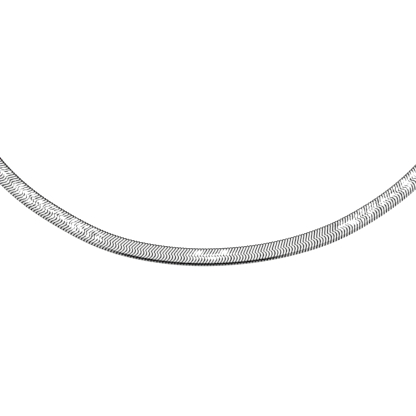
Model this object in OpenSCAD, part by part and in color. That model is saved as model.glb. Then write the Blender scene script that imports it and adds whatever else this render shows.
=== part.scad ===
// Herringbone chain necklace, fastened and lying flat on a surface. All sizes are millimetres.
// The loop lies in the XY plane with its underside at z = 0.
// The front of the neck is towards -Y and the clasp is at the back, towards +Y.
// The woven flat chain is two half loops that meet at the front. Each half loop ends in a pressed
// tongue inside an end cap. The clasp hooks through the loop of the left cap, and a jump ring
// joins the eye of the clasp to the loop of the right cap.

/* [Loop] */
// length of the fastened necklace, measured along the middle of the chain and through the clasp
necklace_length = 457; // [400:1:610]

/* [Chain] */
// width of the flat chain
chain_width = 5; // [3:0.1:8]
// thickness of the flat chain
chain_thickness = 1; // [0.8:0.05:1.8]
// rounding of the two long rims of the chain
rim_radius = 0.45; // [0.2:0.05:0.9]
// gap between the two half loops where they meet at the front
front_seam = 0.1; // [0.05:0.05:0.3]

/* [Pressed chain ends] */
// how far each side of the chain is pressed in to make the tongue
tongue_inset = 0.4; // [0.3:0.05:1]
// how far each face of the chain is pressed in to make the tongue
tongue_step = 0.25; // [0.2:0.05:0.35]
// gap between the tongue and the sleeve of the end cap
fit_clearance = 0.06; // [0.04:0.01:0.12]

/* [End caps] */
// how far the sleeve of an end cap reaches over the tongue
cap_depth = 3.4; // [2:0.1:8]
// how far an end cap stands out past the chain at its sides and on top
cap_overhang = 0.3; // [0.2:0.05:0.8]
// thickness of the closed end of the sleeve
cap_end_wall = 0.6; // [0.4:0.05:1.5]
// rounding of the long edges of an end cap
cap_edge_radius = 0.3; // [0.1:0.05:0.5]
// length of the tapered nose between the sleeve and the loop
nose_length = 1.7; // [1:0.1:4]
// width of the tapered nose at its tip
nose_tip_width = 2; // [1.4:0.1:3]

/* [Loops] */
// wire of the upright loops on the end caps and of the eye of the clasp
loop_wire = 0.6; // [0.4:0.05:1]
// gap around the thickest wire that passes through a loop
hook_clearance = 0.3; // [0.2:0.05:0.6]

/* [Clasp] */
// outer diameter of the round clasp
clasp_outer = 7; // [6:0.1:12]
// thickness of the round bar that the clasp is made of
clasp_wire = 1.4; // [1:0.1:2]
// diameter of the thumb knob on the clasp
knob_diameter = 0.9; // [0.6:0.05:1.2]
// how far the thumb knob stands out of the clasp
knob_height = 0.8; // [0.4:0.05:1.2]

/* [Jump ring] */
// wire of the jump ring
ring_wire = 0.8; // [0.5:0.05:1.2]
// gap between the two loops that the jump ring holds
loop_gap = 0.4; // [0.2:0.05:1.5]

/* [Hidden] */
// names of the pieces, in the order in which they are listed

// steps of the small round parts and of the large arcs
small_steps = 36;
loop_steps = 240;

// radius of the middle line of the loop
loop_radius = necklace_length / (2 * PI);
// a rim can't be rounder than half of the chain's thickness
rim = min(rim_radius, 0.49 * chain_thickness);

// the tongue, and the pocket that holds it
tongue_width = chain_width - 2 * tongue_inset;
tongue_rim = 0.1 * chain_thickness;
pocket_width = tongue_width + 2 * fit_clearance;

// the end cap outside, flush with the chain underneath
cap_width = chain_width + 2 * cap_overhang;
cap_height = chain_thickness + cap_overhang;
cap_rim = min(cap_edge_radius, 0.45 * cap_height);

// the loops and the eye share one size, which lets the thickest wire through
loop_hole = max(clasp_wire, ring_wire) + 2 * hook_clearance;
loop_outer = loop_hole + 2 * loop_wire;
loop_height = loop_outer / 2;
// a loop is sunk this far into the metal that it is soldered to
solder_depth = 0.7 * loop_wire;

// the jump ring goes round both loops that it holds
ring_outer = loop_outer + loop_gap + ring_wire;
ring_height = loop_wire + hook_clearance + ring_wire / 2;

// distances along the loop, from the middle of the clasp
hook_offset = (clasp_outer - clasp_wire) / 2;
eye_offset = clasp_outer / 2 + loop_outer / 2 - solder_depth;
ring_offset = eye_offset + (ring_outer - ring_wire) / 2;
right_offset = eye_offset + ring_outer - ring_wire;

// distances along the loop, from the back of the neck
loop_place = (hook_offset + right_offset) / 2;
clasp_place = hook_offset - loop_place;
ring_place = clasp_place + ring_offset;
cap_place = loop_place + loop_outer / 2 - solder_depth + nose_length;
pocket_place = cap_place + cap_end_wall;
mouth_place = pocket_place + cap_depth;
front_place = necklace_length / 2;

// the middle of the box round the whole necklace lies at the origin
front_reach = loop_radius + chain_width / 2;
back_reach = loop_radius * cos(turn(clasp_place)) + clasp_outer / 2;
shift_y = (front_reach - back_reach) / 2;

// angle in degrees of a distance along the loop
function turn(place) = place / loop_radius * 180 / PI;

// moves what is drawn round the middle of the neck to the origin of the part
module placed() {
    translate([0, shift_y, 0]) children();
}

// puts a piece on the loop, with its +X along the chain to the right and its +Y outwards
module on_loop(place) {
    rotate([0, 0, -turn(place)]) translate([0, loop_radius, 0]) children();
}

// sweeps a flat section along the loop from one distance to a larger one, on the right half
module swept(from, to) {
    rotate([0, 0, 90 - turn(to)])
        rotate_extrude(angle = turn(to - from), $fn = loop_steps)
            translate([loop_radius, 0]) children();
}

// a bar section with rounded corners, from one height to another
module bar_section(width, low, high, r) {
    translate([-width / 2, low + r]) square([width, high - low - 2 * r]);
    translate([-width / 2 + r, low]) square([width - 2 * r, high - low]);
    for (x = [-width / 2 + r, width / 2 - r], y = [low + r, high - r])
        translate([x, y]) circle(r = r, $fn = small_steps);
}

// a ring of round wire, lying flat round the origin
module wire_ring(outer, wire) {
    rotate_extrude($fn = small_steps)
        translate([(outer - wire) / 2, 0]) circle(d = wire, $fn = small_steps);
}

// an upright loop of wire that stands on the surface, its hole facing inwards and outwards
module upright_loop() {
    translate([0, 0, loop_height]) rotate([90, 0, 0]) wire_ring(loop_outer, loop_wire);
}

// half of the woven chain, from its seam at the front to the tongue at its end
module half_chain() {
    swept(mouth_place + fit_clearance, front_place - front_seam / 2)
        bar_section(chain_width, 0, chain_thickness, rim);
    swept(pocket_place + fit_clearance, mouth_place + cap_depth / 4)
        bar_section(tongue_width, tongue_step, chain_thickness - tongue_step, tongue_rim);
}

// an end cap: a sleeve over the tongue, a tapered nose and an upright loop
module end_cap() {
    difference() {
        swept(cap_place, mouth_place)
            bar_section(cap_width, 0, cap_height, cap_rim);
        swept(pocket_place, mouth_place + cap_depth / 4)
            translate([-pocket_width / 2, tongue_step - fit_clearance])
                square([pocket_width, chain_thickness - 2 * tongue_step + 2 * fit_clearance]);
    }
    on_loop(cap_place) {
        linear_extrude(height = cap_height)
            polygon([[cap_end_wall / 2, cap_width / 2 - cap_rim],
                [cap_end_wall / 2, -cap_width / 2 + cap_rim],
                [0, -cap_width / 2 + cap_rim], [-nose_length, -nose_tip_width / 2],
                [-nose_length, nose_tip_width / 2], [0, cap_width / 2 - cap_rim]]);
        translate([-nose_length - loop_outer / 2 + solder_depth, 0, 0]) upright_loop();
    }
}

// right half of the woven chain
module chain_right() {
    color("silver") placed() half_chain();
}

// left half of the woven chain
module chain_left() {
    color("gainsboro") placed() mirror([1, 0, 0]) half_chain();
}

// end cap that the jump ring holds
module end_cap_right() {
    color("darkgray") placed() end_cap();
}

// end cap that the clasp hooks into
module end_cap_left() {
    color("gray") placed() mirror([1, 0, 0]) end_cap();
}

// round clasp with its eye and thumb knob, one plain piece
module clasp() {
    color("slategray") placed() on_loop(clasp_place) {
        translate([0, 0, loop_height]) {
            wire_ring(clasp_outer, clasp_wire);
            rotate([0, 0, 130]) translate([clasp_outer / 2 - clasp_wire / 2, 0, 0])
                rotate([0, 90, 0])
                    cylinder(d = knob_diameter, h = clasp_wire / 2 + knob_height, $fn = small_steps);
        }
        translate([eye_offset, 0, 0]) upright_loop();
    }
}

// jump ring between the eye of the clasp and the right end cap
module jump_ring() {
    color("lightsteelblue") placed() on_loop(ring_place)
        translate([0, 0, ring_height]) wire_ring(ring_outer, ring_wire);
}

chain_left();
chain_right();
end_cap_left();
end_cap_right();
clasp();
jump_ring();
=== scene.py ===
# %% [markdown]
# # A herringbone chain in polished silver
# A herringbone chain is a flat necklace chain. Several hundred small links of silver wire are
# wound on a slant, hooked into each other and then pressed flat between rollers, until only
# thin dark gaps show where one link ends and the next begins.
# This lesson dresses a finished CAD part. The loop, the caps and the clasp are already in
# place, and Blender adds the links one by one, the metal finishes, the light and the camera.

import math

import bmesh
import bpy
import numpy as np
from mathutils import Matrix, Vector


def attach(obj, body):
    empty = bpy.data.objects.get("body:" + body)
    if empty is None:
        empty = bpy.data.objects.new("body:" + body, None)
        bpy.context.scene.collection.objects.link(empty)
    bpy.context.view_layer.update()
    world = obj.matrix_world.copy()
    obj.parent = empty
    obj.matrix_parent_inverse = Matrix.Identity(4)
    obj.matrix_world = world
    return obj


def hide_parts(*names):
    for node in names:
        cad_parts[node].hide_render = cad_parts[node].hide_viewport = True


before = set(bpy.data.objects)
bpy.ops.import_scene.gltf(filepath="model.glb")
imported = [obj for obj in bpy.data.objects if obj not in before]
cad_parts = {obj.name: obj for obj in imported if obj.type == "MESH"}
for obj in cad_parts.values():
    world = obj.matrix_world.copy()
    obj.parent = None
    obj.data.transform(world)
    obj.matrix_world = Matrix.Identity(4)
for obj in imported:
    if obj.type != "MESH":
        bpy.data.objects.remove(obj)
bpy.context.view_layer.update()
MM = 0.001
print("CAD nodes:", sorted(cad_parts))

# %% [markdown]
# ## The camera
# The necklace lies flat, and the picture was taken from above and in front, at about 62
# degrees over the table. A long lens from half a metre away keeps the oval calm. The camera
# is built from three directions: where it looks, what is right and what is up. It is rolled
# by a few degrees, because the oval in the picture leans by as much.

# %% The camera
LOOK_FROM = 61.58       # degrees above the table
DISTANCE = 500 * MM     # from the lens to the point that it looks at
LENS = 166.27           # millimetres
SENSOR = 36             # millimetres wide
ROLL = 6.757            # degrees, clockwise
LOOK_AT = Vector((-8.12, -58.06, 0)) * MM

height = math.radians(LOOK_FROM)
ahead = Vector((0, math.cos(height), -math.sin(height)))
above = Vector((0, math.sin(height), math.cos(height)))
side = Vector((1, 0, 0))
roll = math.radians(ROLL)
side, above = (side * math.cos(roll) - above * math.sin(roll),
               side * math.sin(roll) + above * math.cos(roll))
place = Matrix((side, above, -ahead)).transposed().to_4x4()
place.translation = LOOK_AT - ahead * DISTANCE

lens = bpy.data.cameras.new("photo_camera")
lens.lens = LENS
lens.sensor_width = SENSOR
lens.clip_start, lens.clip_end = 0.01, 50
camera = bpy.data.objects.new("photo_camera", lens)
camera.matrix_world = place
bpy.context.scene.collection.objects.link(camera)
bpy.context.scene.camera = camera
print("camera at", [round(v, 3) for v in place.translation])

# %% [markdown]
# ## Small helpers for materials
# Colours are written as the sRGB hex values that a designer would pick, so one function turns
# them into the linear numbers that the renderer works with. A second function adds a node,
# sets its values and makes its links in one line, which keeps a node graph readable. A third
# starts a material.

# %% Colour and node helpers
def linear(code):
    """An sRGB hex colour such as "#d8d8da" as linear red, green, blue and alpha."""
    parts = [int(code.lstrip("#")[i:i + 2], 16) / 255 for i in (0, 2, 4)]
    return [p / 12.92 if p <= 0.04045 else ((p + 0.055) / 1.055) ** 2.4 for p in parts] + [1.0]


def add(tree, kind, values=None, links=None, **settings):
    """Adds a node, sets its properties and input values, and links its inputs to sockets."""
    node = tree.nodes.new(kind)
    for name, value in settings.items():
        setattr(node, name, value)
    for name, value in (values or {}).items():
        node.inputs[name].default_value = value
    for name, socket in (links or {}).items():
        tree.links.new(socket, node.inputs[name])
    return node


def new_material(name):
    """A material with nodes, its tree and its shader."""
    material = bpy.data.materials.new(name)
    material.use_nodes = True
    tree = material.node_tree
    return material, tree, tree.nodes["Principled BSDF"]


print("white and mid grey are", linear("#ffffff")[0], round(linear("#808080")[0], 3))

# %% [markdown]
# ## Where the chain runs
# The chain follows one circle. Its sizes repeat those of the CAD part: 457 mm is the length
# through the clasp, and the two half loops end in the caps at the back. A place on the loop is
# an angle seen from above, and the front of the neck is at -90 degrees.
# Nobody lays a chain down on a perfect circle. Over the front it strays by up to 0.4 mm, so a
# few soft waves are added to the radius there, and along a stretch on the right the rollers
# pressed it 0.2 mm wider. Both halves and everything in them are placed by one function, so
# nothing comes apart.

# %% Sizes of the loop, and a place on it
LENGTH = 457.0          # millimetres, like every size here that has no unit
THICK = 1.0             # of the pressed band
LOOP_R = LENGTH / (2 * math.pi)
LOOP_Y = -0.4742        # the clasp reaches further out than the front, so the circle sits lower
CAP_MOUTH = 12.48       # from the back of the neck to the full chain, along the loop
TONGUE_ROOT = 13.27     # from the back of the neck to where the tongue leaves the chain
TONGUE_END = 9.08       # from the back of the neck to the tip of the pressed tongue
LAY = [
    # where, counted from the front, how far outward, over how far
    (-78, 0.37, 13), (-51, -0.20, 8), (-33.5, 0.27, 10), (-2.5, -0.16, 12),
    (24, 0.16, 8), (33, -0.05, 8),
]
WIDE_AT, WIDE_SHARE, WIDE_OVER = 23, 0.042, 14    # where the band is wider, and how much

mouth = math.pi / 2 - CAP_MOUTH / LOOP_R
front = -math.pi / 2


def wave(along, at, high, over):
    """How high a soft hump is along the loop. At the distance over, a third of it is left."""
    return high * np.exp(-((along - at) / over) ** 2)


def on_loop(phi, y, z):
    """Points at an angle, a distance outward from the middle of the band and a height."""
    along = (phi - front) * LOOP_R
    stray = sum(wave(along, *row) for row in LAY)
    wider = 1 + wave(along, WIDE_AT, WIDE_SHARE, WIDE_OVER)
    radius = LOOP_R + stray + y * wider
    return np.stack([radius * np.cos(phi), radius * np.sin(phi) + LOOP_Y, z], -1)


print("radius of the loop in mm:", round(LOOP_R, 2))

# %% [markdown]
# ## How the links are spaced
# In the picture 2.9 pixels pass from one dark gap to the next, which is three quarters of a
# millimetre. Part of the left half has been pulled a little longer, so the links there sit up
# to 0.06 mm further apart. The last link has to end at the cap, so all places are stretched
# by the small share that is left over.

# %% The place of every link
PITCH = 0.747
PULLED_AT, PULLED_BY, PULLED_OVER = 62.0, 0.06, 20.0   # where the left half is pulled longer


def link_places(sign):
    """How far each link lies from the front, and how much of the loop it takes."""
    run = (mouth - front) * LOOP_R
    edges, at = [0.0], 0.0
    while at < run:
        at += PITCH + (wave(at, PULLED_AT, PULLED_BY, PULLED_OVER) if sign < 0 else 0)
        edges.append(at)
    edges = np.array(edges) * run / edges[-1]
    return (edges[1:] + edges[:-1]) / 2, np.diff(edges)


print("links in each half:", [len(link_places(s)[0]) for s in (-1, 1)])

# %% [markdown]
# ## The silver of the links
# The links are sterling silver with a thin rhodium plating, pressed flat and polished, so
# they mirror the softbox as clean white. Shade and dark reflections are painted into their
# colour in three places, in near black. The lower half of both rims is painted darker by
# height, as painted shade and a painted dark reflection, fading out towards the right of
# the loop. The inner rim gets painted shade, a little less on the right. And along the front
# a painted dark reflection covers the shoulder of the outer rim. Height above the table drives
# the first. The place across the band drives the other two, and the mesh carries it as a
# number on each point, named "across". A coarser noise moves the edge of the painted shade up
# and down, and a fine noise makes the finish a little uneven, as buffing does. The mirror face
# itself is as bright as silver gets, and nearly smooth.

# %% Polished sterling silver, with painted shade and reflection
LOW_UNSHADED = (0.55, 1.00)    # how much of the lower half of the rims is left free of painted shade, on the left and right
INNER_UNSHADED = (0.05, 0.24)  # how much of the inner rim is left free of painted shade, on the left and right
LEFT_TO_RIGHT = (-0.1, 0.45)       # from where to where that changes, as a share of the radius
SOFT = 0.05                 # millimetres over which the painted shade starts
SHOULDER = (0.50, 0.60)     # height from which the painted dark line along the front starts, and is full
FRONT_LINE_AT = math.radians(-99.5)
FRONT_LINE_REACH = (13.5, 19.5)   # degrees to each side where the painted front line starts to end, and ends
WOBBLE_SIZE = 1.5                 # millimetres from one wave of the noise that moves the painted shade's edge to the next
UNEVEN = 0.06               # millimetres by which that noise moves the edge of the painted shade higher or lower
BUFFED = (0.7, 1.5)         # shares of the roughness in the best and the worst buffed spots
DENT_DEPTH = 0.01           # millimetres


def silver(name, colour, painted_shade, low, high, rims, rough, grain, dent):
    """Polished silver, painted darker as painted shade below a height and, with rims, along the
    two rims.
    """
    metal, tree, shader = new_material(name)
    where = add(tree, "ShaderNodeTexCoord").outputs["Object"]
    parts = add(tree, "ShaderNodeSeparateXYZ", links={"Vector": where})
    wobble = add(tree, "ShaderNodeTexNoise", {"Scale": 1 / (WOBBLE_SIZE * MM), "Detail": 3.0},
                {"Vector": where})
    shift = add(tree, "ShaderNodeMath", {1: 2 * UNEVEN * MM, 2: -UNEVEN * MM},
                {0: wobble.outputs["Fac"]}, operation="MULTIPLY_ADD")
    level = add(tree, "ShaderNodeMath", links={0: parts.outputs["Z"], 1: shift.outputs[0]},
                operation="ADD").outputs[0]
    # painted shade: the metal is mixed towards the dark colour below a height
    unshaded = add(tree, "ShaderNodeMapRange",
                {"From Min": low * MM, "From Max": high * MM, "To Min": LOW_UNSHADED[0]},
                {"Value": level}, interpolation_type="SMOOTHSTEP")
    # along the rims, painted shade and a painted dark reflection
    if rims:
        unshaded = rim_painted_shade(tree, where, level, unshaded, *rims)
    tint = add(tree, "ShaderNodeMix", {"A": linear(painted_shade), "B": linear(colour)},
               {"Factor": unshaded.outputs[0]}, data_type="RGBA")
    tree.links.new(tint.outputs["Result"], shader.inputs["Base Color"])
    fine = add(tree, "ShaderNodeTexNoise", {"Scale": 1 / (grain * MM), "Detail": 4.0},
               {"Vector": where})
    polish = add(tree, "ShaderNodeMapRange",
                 {"To Min": rough * BUFFED[0], "To Max": rough * BUFFED[1]},
                 {"Value": fine.outputs["Fac"]})
    tree.links.new(polish.outputs[0], shader.inputs["Roughness"])
    bump = add(tree, "ShaderNodeBump", {"Strength": dent, "Distance": DENT_DEPTH * MM},
               {"Height": fine.outputs["Fac"]})
    tree.links.new(bump.outputs[0], shader.inputs["Normal"])
    shader.inputs["Metallic"].default_value = 1.0
    return metal


def rim_painted_shade(tree, where, level, unshaded, inner_edge, outer_edge):
    """Paints shade over the inner rim and a dark reflection over the shoulder of the front rim.
    """
    way = add(tree, "ShaderNodeVectorMath", links={0: where}, operation="NORMALIZE")
    right = add(tree, "ShaderNodeSeparateXYZ", links={"Vector": way.outputs["Vector"]})
    # how much is left free of painted shade changes from left to right
    unshaded_by_side = [add(tree, "ShaderNodeMapRange",
                  {"From Min": LEFT_TO_RIGHT[0], "From Max": LEFT_TO_RIGHT[1], "To Min": least,
                   "To Max": most}, {"Value": right.outputs["X"]}).outputs[0]
              for least, most in (LOW_UNSHADED, INNER_UNSHADED)]
    tree.links.new(unshaded_by_side[0], unshaded.inputs["To Min"])
    across = add(tree, "ShaderNodeAttribute", attribute_name="across").outputs["Fac"]
    # painted shade along the inner rim
    inner = add(tree, "ShaderNodeMapRange",
                {"From Min": inner_edge - SOFT, "From Max": inner_edge + SOFT},
                {"Value": across, "To Min": unshaded_by_side[1]})
    # a painted dark reflection on the shoulder of the outer rim, in the middle of the front
    outer = add(tree, "ShaderNodeMapRange",
                {"From Min": outer_edge - SOFT, "From Max": outer_edge + SOFT},
                {"Value": across})
    shoulder = add(tree, "ShaderNodeMapRange",
                   {"From Min": SHOULDER[0] * MM, "From Max": SHOULDER[1] * MM},
                   {"Value": level})
    middle = (math.cos(FRONT_LINE_AT), math.sin(FRONT_LINE_AT), 0)
    lean = add(tree, "ShaderNodeVectorMath", {1: middle}, {0: way.outputs["Vector"]},
               operation="DOT_PRODUCT")
    start, end = (math.cos(math.radians(d)) for d in FRONT_LINE_REACH)
    along = add(tree, "ShaderNodeMapRange", {"From Min": end, "From Max": start},
                {"Value": lean.outputs["Value"]}, interpolation_type="SMOOTHSTEP")
    front_line = along
    for part in (outer, shoulder):
        front_line = add(tree, "ShaderNodeMath",
                      links={0: front_line.outputs[0], 1: part.outputs[0]}, operation="MULTIPLY")
    off_front_line = add(tree, "ShaderNodeMath", {0: 1.0}, {1: front_line.outputs[0]},
               operation="SUBTRACT")
    for part in (inner, off_front_line):
        unshaded = add(tree, "ShaderNodeMath",
                    links={0: unshaded.outputs[0], 1: part.outputs[0]}, operation="MULTIPLY")
    return unshaded


# 121212 is the painted shade and painted dark reflection on the rims
link_silver = silver("polished_sterling_silver_links", "#e9e9e9", "#121212", low=0.42,
                     high=0.66, rims=(-1.87, 2.09), rough=0.10, grain=0.4, dent=0.15)
print("made", link_silver.name)

# %% [markdown]
# ## The dark heart of the weave
# Between the links one looks down into the inner turns of wire, where hardly any light comes
# back. A band of the same silver, dark and matt, lies inside the links to draw that: its
# colour is partly tarnish and old polishing compound and partly painted shade, and it is what
# draws the fine black lines of the pattern.

# %% Tarnished silver and painted shade inside the weave
SOOT = 0.6      # millimetres from one crumb of old polish to the next
shade_band_silver, tree, shader = new_material("tarnish_and_painted_shade_inside_the_weave")
where = add(tree, "ShaderNodeTexCoord")
soot = add(tree, "ShaderNodeTexNoise", {"Scale": 1 / (SOOT * MM), "Detail": 3.0},
           {"Vector": where.outputs["Object"]})
# the dark band is tarnish and painted shade under the gaps between the links
tint = add(tree, "ShaderNodeMix", {"A": linear("#070707"), "B": linear("#191919")},
           {"Factor": soot.outputs["Fac"]}, data_type="RGBA")
tree.links.new(tint.outputs["Result"], shader.inputs["Base Color"])
shader.inputs["Metallic"].default_value = 1.0
shader.inputs["Roughness"].default_value = 0.55
print("made", shade_band_silver.name)

# %% [markdown]
# ## How one link is bent
# Seen from above, the edge of a link isn't straight. From the inner rim it slants back, turns
# forward for a short stretch in the middle, and then swings back again to the outer rim like
# a closing bracket. The table holds that line: how far across the band, how far along it, and
# how much of the pitch the wire fills there. The rest of the pitch is the dark gap. Drawn wire
# has no sharp corners, so the table is averaged over a tenth of a millimetre each way.

# %% The bend of a link, across the top
BEND = np.array([
    # across, along, share of the pitch that is wire
    (-2.50, 0.46, 0.60),
    (-1.90, 0.46, 0.60),
    (-1.60, 0.38, 0.60),
    (-0.90, -0.03, 0.58),
    (-0.25, -0.39, 0.60),
    (0.00, -0.42, 0.60),
    (0.14, -0.41, 0.60),
    (0.31, -0.06, 0.62),
    (0.90, 0.075, 0.58),
    (1.25, 0.005, 0.54),
    (1.55, -0.15, 0.57),
    (1.80, -0.33, 0.64),
    (2.03, -0.46, 0.56),
    (2.20, -0.58, 0.61),
    (2.40, -0.70, 0.44),
    (2.55, -0.80, 0.36),
])
BEND_BLUR = 0.09        # the table is averaged over this much to each side
BEND_SAMPLES = 9


def bend_at(y):
    """At places across the band, how far along a link's middle lies, and how full it is."""
    near = np.linspace(-BEND_BLUR, BEND_BLUR, BEND_SAMPLES)
    at = np.clip(y[:, None] + near[None, :], BEND[0, 0], BEND[-1, 0])
    return tuple(np.interp(at, BEND[:, 0], BEND[:, c]).mean(1) for c in (1, 2))


print("the bend goes back and forth over", round(float(np.ptp(BEND[:, 1])), 2), "mm")

# %% [markdown]
# ## The path round the band
# A link is a closed ring that wraps round the whole band: over the top, round the outer rim,
# back underneath and up the inner rim. The path lists places across the band and heights,
# with more of them where the link bends sharply. The outward direction at each place is kept
# too, because the flat face of the wire has to follow it.

# %% Stations round the section of the band
ROLL_OUT = [(1.94, 0.985), (2.04, 0.935), (2.16, 0.85), (2.28, 0.73), (2.39, 0.58),
            (2.49, 0.42), (2.55, 0.25), (2.51, 0.08), (2.28, 0.0)]
ROLL_IN = [(2.12, 0.0), (2.42, 0.16), (2.50, 0.42), (2.45, 0.70), (2.34, 0.88), (2.18, 0.97)]
TOP = [-1.98, -1.80, -1.60, -1.37, -1.14, -0.91, -0.69, -0.48, -0.29, -0.12, 0.05, 0.13, 0.21,
       0.30, 0.43, 0.62, 0.84, 1.1, 1.35, 1.60, 1.80]
UNDER = [1.8, 0.35, 0.05, -1.7]


def stations(top, outside, under, inside):
    """Places round the band as rows of across, height and the outward direction."""
    rows = [(y, THICK) for y in top] + list(outside) + [(y, 0.0) for y in under] \
        + [(-y, z) for y, z in inside]
    place = np.array(rows)
    tangent = np.roll(place, -1, 0) - np.roll(place, 1, 0)
    out = np.stack([-tangent[:, 1], tangent[:, 0]], 1)
    out /= np.linalg.norm(out, axis=1)[:, None]
    out[:len(top)] = (0, 1)
    out[len(top) + len(outside):len(top) + len(outside) + len(under)] = (0, -1)
    return np.hstack([place, out])


RING = stations(TOP, ROLL_OUT, UNDER, ROLL_IN)
print("stations round a link:", len(RING))

# %% [markdown]
# ## The section of the wire
# The wire was round and is now pressed flat, so its section is a low bar with softened top
# edges and a slightly crowned face. Its width is measured along the chain, so a slanted
# stretch keeps the same gap to its neighbour as a straight one. Its foot reaches a little
# below the thickness, so every link is seated in the dark band under it.

# %% The wire's section, as shares of its width and thickness
WIRE_THICK = 0.22
SECTION = np.array([
    # along, outward
    (-0.50, -1.15), (0.50, -1.15), (0.50, -0.30), (0.40, -0.08), (0.14, 0.0),
    (-0.14, 0.0), (-0.40, -0.08), (-0.50, -0.30),
])
print("points round the wire:", len(SECTION))

# %% [markdown]
# ## Where the rollers closed the gaps
# The rollers press some stretches harder than others. There the faces of the links meet, the
# dark gaps break up into grains, and the band flashes white. Three clean flashes and two thin
# lines have a place of their own near the front. The others are strewn over stretches of the
# loop by a seeded random choice, as soft ovals that lie along the middle of the band.

# %% Soft ovals where the gaps are pressed shut
FLASHES = [
    # distance along, place across, half length, half width, strength
    (-12.1, -1.0, 1.0, 0.60, 1.0), (-8.4, 0.6, 1.3, 0.40, 1.0), (-5.3, -1.0, 1.0, 0.60, 1.0),
    (-8.5, -0.35, 6.5, 0.14, 1.0), (-9.5, 0.42, 4.5, 0.12, 1.0),
]
SHUT = [
    # from, to, ovals for each millimetre, middle of them across the band
    (-88, -64, 4.5, -0.2), (-64, -38, 10.0, 0.0), (24, 40, 7.0, -0.4), (40, 70, 4.5, -0.4),
    (95, 130, 5.0, -0.1), (150, 190, 5.0, -0.1), (-125, -100, 5.0, -0.1),
    (-195, -160, 5.0, -0.1),
]
SPREAD = 0.62                   # how far the ovals spread to each side of their middle
FACE = (-1.45, 1.2)             # the part of the flat face that they keep to
HALF_LENGTH = (0.25, 1.2)
HALF_WIDTH = (0.12, 0.4)
STRENGTH = (0.8, 1.0)
EDGE = (0.75, 1.25)             # shares of an oval's size where it starts to fade, and ends


def smooth(x):
    """A ramp from 0 to 1 with a soft start and end."""
    return x * x * (3 - 2 * x)


def strewn_ovals(seed):
    """Rows of distance along, place across, half length, half width and strength."""
    rng = np.random.default_rng(seed)
    rows = []
    for start, end, dense, middle in SHUT:
        count = int((end - start) * dense)
        rows.append(np.stack([
            rng.uniform(start, end, count),
            np.clip(rng.normal(middle, SPREAD, count), *FACE),
            rng.uniform(*HALF_LENGTH, count),
            rng.uniform(*HALF_WIDTH, count),
            rng.uniform(*STRENGTH, count),
        ], 1))
    return np.vstack(rows)


def shut_at(ovals, along, across):
    """How far the gaps are pressed shut at places along and across the band, from 0 to 1."""
    total = np.zeros(np.broadcast(along, across).shape)
    for middle, side, length, width, strength in ovals:
        out = np.hypot((along - middle) / length, (across - side) / width)
        left = np.clip((EDGE[1] - out) / (EDGE[1] - EDGE[0]), 0, 1)
        total = np.maximum(total, strength * smooth(left))
    return total


STREWN = strewn_ovals(seed=8)
print("strewn ovals:", len(STREWN))

# %% [markdown]
# ## The sparkle
# In the strewn ovals the rollers shut one spot of a gap and leave the next one open. A seeded
# grain stands for that: about every third of a millimetre across the band it changes how far
# a gap is shut, and some grains open it again. The flashes have no grain.

# %% How far every gap is shut
FLAT = 0.99             # the rollers only reach what lies above this height
GRAIN = (0.5, 2.2)      # mean and spread of how far a grain shuts its gap
GRAIN_STEP = 0.35       # millimetres across the band from one grain to the next
OPENED = -0.32          # how far a grain may open a gap again, where 1 would shut it
RAGGED = 0.12           # spread of how far an oval's edge is off at each link


def grains(rng, count):
    """A random number for each link and station, which changes evenly between two grains."""
    step = (RING[:, 0] - RING[:, 0].min()) / GRAIN_STEP
    left, share = step.astype(int), smooth(step % 1)
    grain = rng.normal(*GRAIN, (count, left.max() + 2))
    return grain[:, left] * (1 - share) + grain[:, left + 1] * share


def pressed_shut(rng, lie):
    """How far the gap is shut at each link and station, with lie as their places along."""
    across = RING[None, :, 0] + rng.normal(0, RAGGED, (len(lie), 1))
    shut = np.clip(shut_at(STREWN, lie, across) * grains(rng, len(lie)), OPENED, 1)
    shut = shut + shut_at(FLASHES, lie, across) * (1 - shut)
    return shut * (RING[None, :, 1] > FLAT)


print("stations on the flat face:", int((RING[:, 1] > FLAT).sum()))

# %% [markdown]
# ## Weaving one half of the chain
# All links of a half are made at once with numpy: every link is the same ring of stations,
# turned to its own angle on the loop. Towards the cap the bend fades out, because the last
# links are soldered and pressed square. Small seeded differences in place, width and height
# keep the weave from looking printed.

# %% Build the links of one half as mesh data
FADE = 7.0              # millimetres before the cap over which the bend fades out
PRESSED = 0.975         # share of the pitch that the wire fills where the gap is shut
WORN = 0.85             # how far the softened edges are flattened there
OFF_PLACE = 0.010       # spread of how far a link lies off its place along the chain
OFF_HEIGHT = 0.006      # spread of how far a link is pushed in or out
OFF_WIDTH = 0.015       # spread of the share of the pitch that its wire fills
LIFT_FROM = 0.3         # only what lies above this height is pushed in or out
BAR_CUT = 1.5           # millimetres from one cut of a plain bar to the next
QUAD = ((0, 0), (0, 1), (1, 1), (1, 0))     # the corners of a face, as steps on and round


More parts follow.
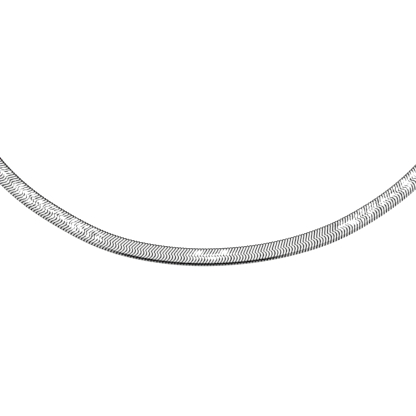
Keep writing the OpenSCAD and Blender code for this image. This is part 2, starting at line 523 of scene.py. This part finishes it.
def woven(sign, seed):
    """Vertices, their places across and the faces of the links from the front to a cap."""
    rng = np.random.default_rng(seed)
    place, pitch = link_places(sign)
    count, spots, corners = len(place), len(RING), len(SECTION)
    along, fill = bend_at(RING[:, 0])
    fade = smooth(np.clip((place[-1] - place) / FADE, 0, 1))
    jitter = rng.normal(0, OFF_PLACE, count)
    lift = rng.normal(0, OFF_HEIGHT, count)
    shut = pressed_shut(rng, (sign * place)[:, None] + along[None, :])
    # where a gap is shut, the wire fills the pitch and its soft edges are pressed flat
    fill = fill[None, :] + rng.normal(0, OFF_WIDTH, (count, 1))
    fill = fill + (PRESSED - fill) * shut
    shift = (along[None, :] * fade[:, None] + jitter[:, None])[:, :, None] \
        + (pitch[:, None] * fill)[:, :, None] * SECTION[None, None, :, 0]
    phi = front + (sign * place[:, None, None] + shift) / LOOP_R
    inset = WIRE_THICK * SECTION[None, None, :, 1]
    flatter = 1 - WORN * np.maximum(shut, 0)[:, :, None]
    inset = inset * np.where(inset > -WIRE_THICK / 2, flatter, 1.0)
    # the section stands on the path, with its face turned outward
    y = RING[None, :, 0, None] + RING[None, :, 2, None] * inset
    z = RING[None, :, 1, None] + RING[None, :, 3, None] * inset
    z = np.clip(z + lift[:, None, None] * np.clip(z - LIFT_FROM, 0, 1), 0.0, THICK)
    link, spot, corner = np.indices((count, spots, corners))
    faces = np.stack([(link * spots + (spot + step) % spots) * corners + (corner + turn) % corners
                      for step, turn in QUAD], -1)
    return on_loop(phi, y, z).reshape(-1, 3) * MM, y.ravel(), faces.reshape(-1, 4)


def bar(section, start, end):
    """Vertices and faces of a closed bar that carries a section along the loop."""
    corners, cuts = len(section), max(2, int(abs(end - start) * LOOP_R / BAR_CUT))
    phi = np.repeat(np.linspace(start, end, cuts + 1)[:, None], corners, 1)
    y, z = (np.broadcast_to(section[:, c], phi.shape) for c in (0, 1))
    verts = on_loop(phi, y, z)
    cut, corner = np.indices((cuts, corners))
    faces = np.stack([(cut + step) * corners + (corner + turn) % corners
                      for step, turn in QUAD], -1)
    ends = [list(range(corners))[::-1], list(range(cuts * corners, (cuts + 1) * corners))]
    return verts.reshape(-1, 3) * MM, faces.reshape(-1, 4).tolist() + ends


print("faces of one link:", len(RING) * len(SECTION))

# %% [markdown]
# ## From numbers to objects
# A half is one object of three parts: the links in bright silver, the dark band inside them,
# which is tarnish and painted shade, and the flat tongue that is pressed and soldered into the
# cap. The dark band lies deep under the flat top and close under the outer rim, where the wire
# is thinnest. The object rides on the necklace's one body and stands for the plain CAD band,
# which stays hidden underneath for the physics.

# %% Make both halves
OUTER_DEPTH, INNER_DEPTH = 0.03, 0.18   # how deep the dark band lies at the two rims
TOP_DEPTH = WIRE_THICK + 0.01           # and under the flat faces
RIM = 1.95                              # from where across the rims start
SHARP = math.radians(40)                # edges that bend more than this stay sharp
TONGUE = np.array([(-2.1, 0.3), (-2.1, 0.7), (-2.05, 0.75), (2.05, 0.75), (2.1, 0.7),
                   (2.1, 0.3), (2.05, 0.25), (-2.05, 0.25)])

flat_part = [-1.9, 0.0, 1.9]            # places across its two flat faces
ring = stations(flat_part, ROLL_OUT[1:], flat_part[::-1], ROLL_IN[:-1])
depth = np.select([ring[:, :1] > RIM, ring[:, :1] < -RIM], [OUTER_DEPTH, INNER_DEPTH],
                  TOP_DEPTH)
HEART = ring[:, :2] - ring[:, 2:] * depth


def half(name, node, sign, seed):
    """Makes one woven half: its links, the dark band inside them and the pressed tongue."""
    verts, across, quads = woven(sign, seed)
    verts, faces, bright = [verts], quads.tolist(), len(quads)
    for section, start, end in ((HEART, front, mouth),
                                (TONGUE, math.pi / 2 - TONGUE_ROOT / LOOP_R,
                                 math.pi / 2 - TONGUE_END / LOOP_R)):
        if sign < 0:
            start, end = -math.pi - start, -math.pi - end
        more, sides = bar(section, start, end)
        first = sum(len(v) for v in verts)
        verts.append(more)
        faces += [[v + first for v in side] for side in sides]
    mesh = bpy.data.meshes.new(name)
    mesh.from_pydata(np.vstack(verts).tolist(), [], faces)
    mesh.materials.append(link_silver)
    mesh.materials.append(shade_band_silver)
    slots = np.zeros(len(faces), np.int32)
    slots[bright:] = 1
    mesh.polygons.foreach_set("material_index", slots)
    mesh.polygons.foreach_set("use_smooth", np.ones(len(faces), bool))
    stored = np.zeros(len(mesh.vertices), np.float32)
    stored[:len(across)] = across
    mesh.attributes.new("across", "FLOAT", "POINT").data.foreach_set("value", stored)
    bm = bmesh.new()
    bm.from_mesh(mesh)
    bmesh.ops.recalc_face_normals(bm, faces=bm.faces)
    bm.to_mesh(mesh)
    bm.free()
    mesh.set_sharp_from_angle(angle=SHARP)
    piece = bpy.data.objects.new(name, mesh)
    bpy.context.scene.collection.objects.link(piece)
    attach(piece, "root")
    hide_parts(node)
    print(name, "has", sum(len(f) - 2 for f in faces), "triangles")


half("right_weave", "chain_right", sign=1, seed=11)
half("left_weave", "chain_left", sign=-1, seed=12)

# %% [markdown]
# ## Caps, clasp and jump ring
# These are cast and drawn silver, polished like the links but with no woven texture. They keep
# the exact shape of the CAD part, so only the metal is set. It is a little greyer and less
# sharp than on the links, as castings are polished by a small wheel and not by rollers.
# Towards the bottom their colour is painted darker, as painted shade.

# %% Silver for the findings
# 4b4b4d is painted shade, darker towards the bottom of each finding
finding_silver = silver("polished_sterling_silver_findings", "#c0c1c3", "#4b4b4d", low=0.0,
                        high=0.9, rims=None, rough=0.2, grain=0.5, dent=0.3)
for name in ("end_cap_left", "end_cap_right", "clasp", "jump_ring"):
    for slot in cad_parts[name].material_slots:
        slot.material = finding_silver
print("made", finding_silver.name)

# %% [markdown]
# ## The table
# Jewellery for a shop page lies on a sheet of matt white card, lit until it is as white as
# the page. The card here is wide enough to fill every view. Besides what the room lights, it
# gives off some light of its own, which stands for the lamp under a light table. That keeps
# the card white and takes the shadows away.

# %% White card
FIBRE = 1.5         # millimetres from one tuft of paper fibre to the next
GLOW = 0.6          # how much light of its own the card gives off
CARD_SIZE = 8       # metres
CARD_TOP = -0.2     # millimetres, just under the necklace
card, tree, shader = new_material("matt_white_card")
where = add(tree, "ShaderNodeTexCoord")
fibre = add(tree, "ShaderNodeTexNoise", {"Scale": 1 / (FIBRE * MM), "Detail": 3.0},
            {"Vector": where.outputs["Object"]})
tint = add(tree, "ShaderNodeMix", {"A": linear("#f4f4f4"), "B": linear("#fafafa")},
           {"Factor": fibre.outputs["Fac"]}, data_type="RGBA")
tree.links.new(tint.outputs["Result"], shader.inputs["Base Color"])
shader.inputs["Roughness"].default_value = 0.9
shader.inputs["Specular IOR Level"].default_value = 0.2
shader.inputs["Emission Color"].default_value = (1, 1, 1, 1)
shader.inputs["Emission Strength"].default_value = GLOW
bpy.ops.mesh.primitive_plane_add(size=CARD_SIZE, location=(0, 0, CARD_TOP * MM))
table = bpy.context.object
table.name = "white_card"
table.data.materials.append(card)
print("card of", table.dimensions.x, "m")

# %% [markdown]
# ## A room that is painted by direction
# Polished silver shows the room, so the room is the real light design. It is painted on the
# world by direction, so it stands still when the camera moves, and no lamp is needed. A patch
# of the room is what lies close enough to one direction, or to several at once.

# %% A patch of the room, by direction
world = bpy.data.worlds.new("studio_tent")
bpy.context.scene.world = world
world.use_nodes = True
tree = world.node_tree
where = add(tree, "ShaderNodeTexCoord")


def aim(azimuth, elevation):
    """The unit vector towards a compass angle (90 is the back) and a height above the table."""
    turn, rise = math.radians(azimuth), math.radians(elevation)
    return (math.cos(turn) * math.cos(rise), math.sin(turn) * math.cos(rise), math.sin(rise))


def patch(*borders):
    """1 inside a patch of the room. A border is a direction, and the leans towards it at which
    the patch starts and is full."""
    inside = None
    for direction, start, full in borders:
        lean = add(tree, "ShaderNodeVectorMath", {1: direction},
                   {0: where.outputs["Generated"]}, operation="DOT_PRODUCT")
        edge = add(tree, "ShaderNodeMapRange", {"From Min": start, "From Max": full},
                   {"Value": lean.outputs["Value"]}, interpolation_type="SMOOTHSTEP").outputs[0]
        inside = edge if inside is None else add(
            tree, "ShaderNodeMath", links={0: inside, 1: edge}, operation="MULTIPLY").outputs[0]
    return inside


print("straight up is", aim(0, 90))

# %% [markdown]
# ## The studio
# Behind the necklace and high up hangs a large softbox, which the flat faces of the links
# mirror as white. In front stands a dark card, and the shoulder of the near rim mirrors that
# as a black line. Below the dark card a paler strip lights the lower part of the rim. The rest
# is an even pale tent.

# %% Paint the tent, the softbox, the pale strip and the dark card
TENT, BOX, LOW, DARK = 0.9, 1.3, 0.7, 0.0     # how bright each part of the room is
BOX_AT = aim(90, 68)
BOX_EDGE = (45, 30)     # degrees from its middle where the softbox ends, and where it is full
CARD = (                # borders: a direction, the lean where it starts and where it is full
    ((0, -1, 0), 0.14, 0.34),               # its front
    ((0.875, -0.485, 0), -0.205, -0.085),   # its left end
    ((-0.988, -0.156, 0), -0.085, 0.035),   # its right end
)
ABOVE = ((0, 0, 1), 0.50, 0.65)     # the dark card is above this, the pale strip below

softbox = patch((BOX_AT, *(math.cos(math.radians(d)) for d in BOX_EDGE)))
light = None
for value, mask in ((BOX, softbox), (LOW, patch(*CARD)), (DARK, patch(*CARD, ABOVE))):
    mix = add(tree, "ShaderNodeMix", {"A": TENT, "B": value}, {"Factor": mask})
    if light:
        tree.links.new(light, mix.inputs["A"])
    light = mix.outputs["Result"]
background = tree.nodes["Background"]
tree.links.new(light, background.inputs["Strength"])
background.inputs["Color"].default_value = (1, 1, 1, 1)
print("room painted with", len(tree.nodes), "nodes")

# %% [markdown]
# ## Show the colours as they are
# The film look that Blender starts with greys a white card down. A shop picture has plain
# contrast, so the standard view is used.

# %% Plain contrast
bpy.context.scene.view_settings.view_transform = "Standard"
print("view:", bpy.context.scene.view_settings.view_transform)
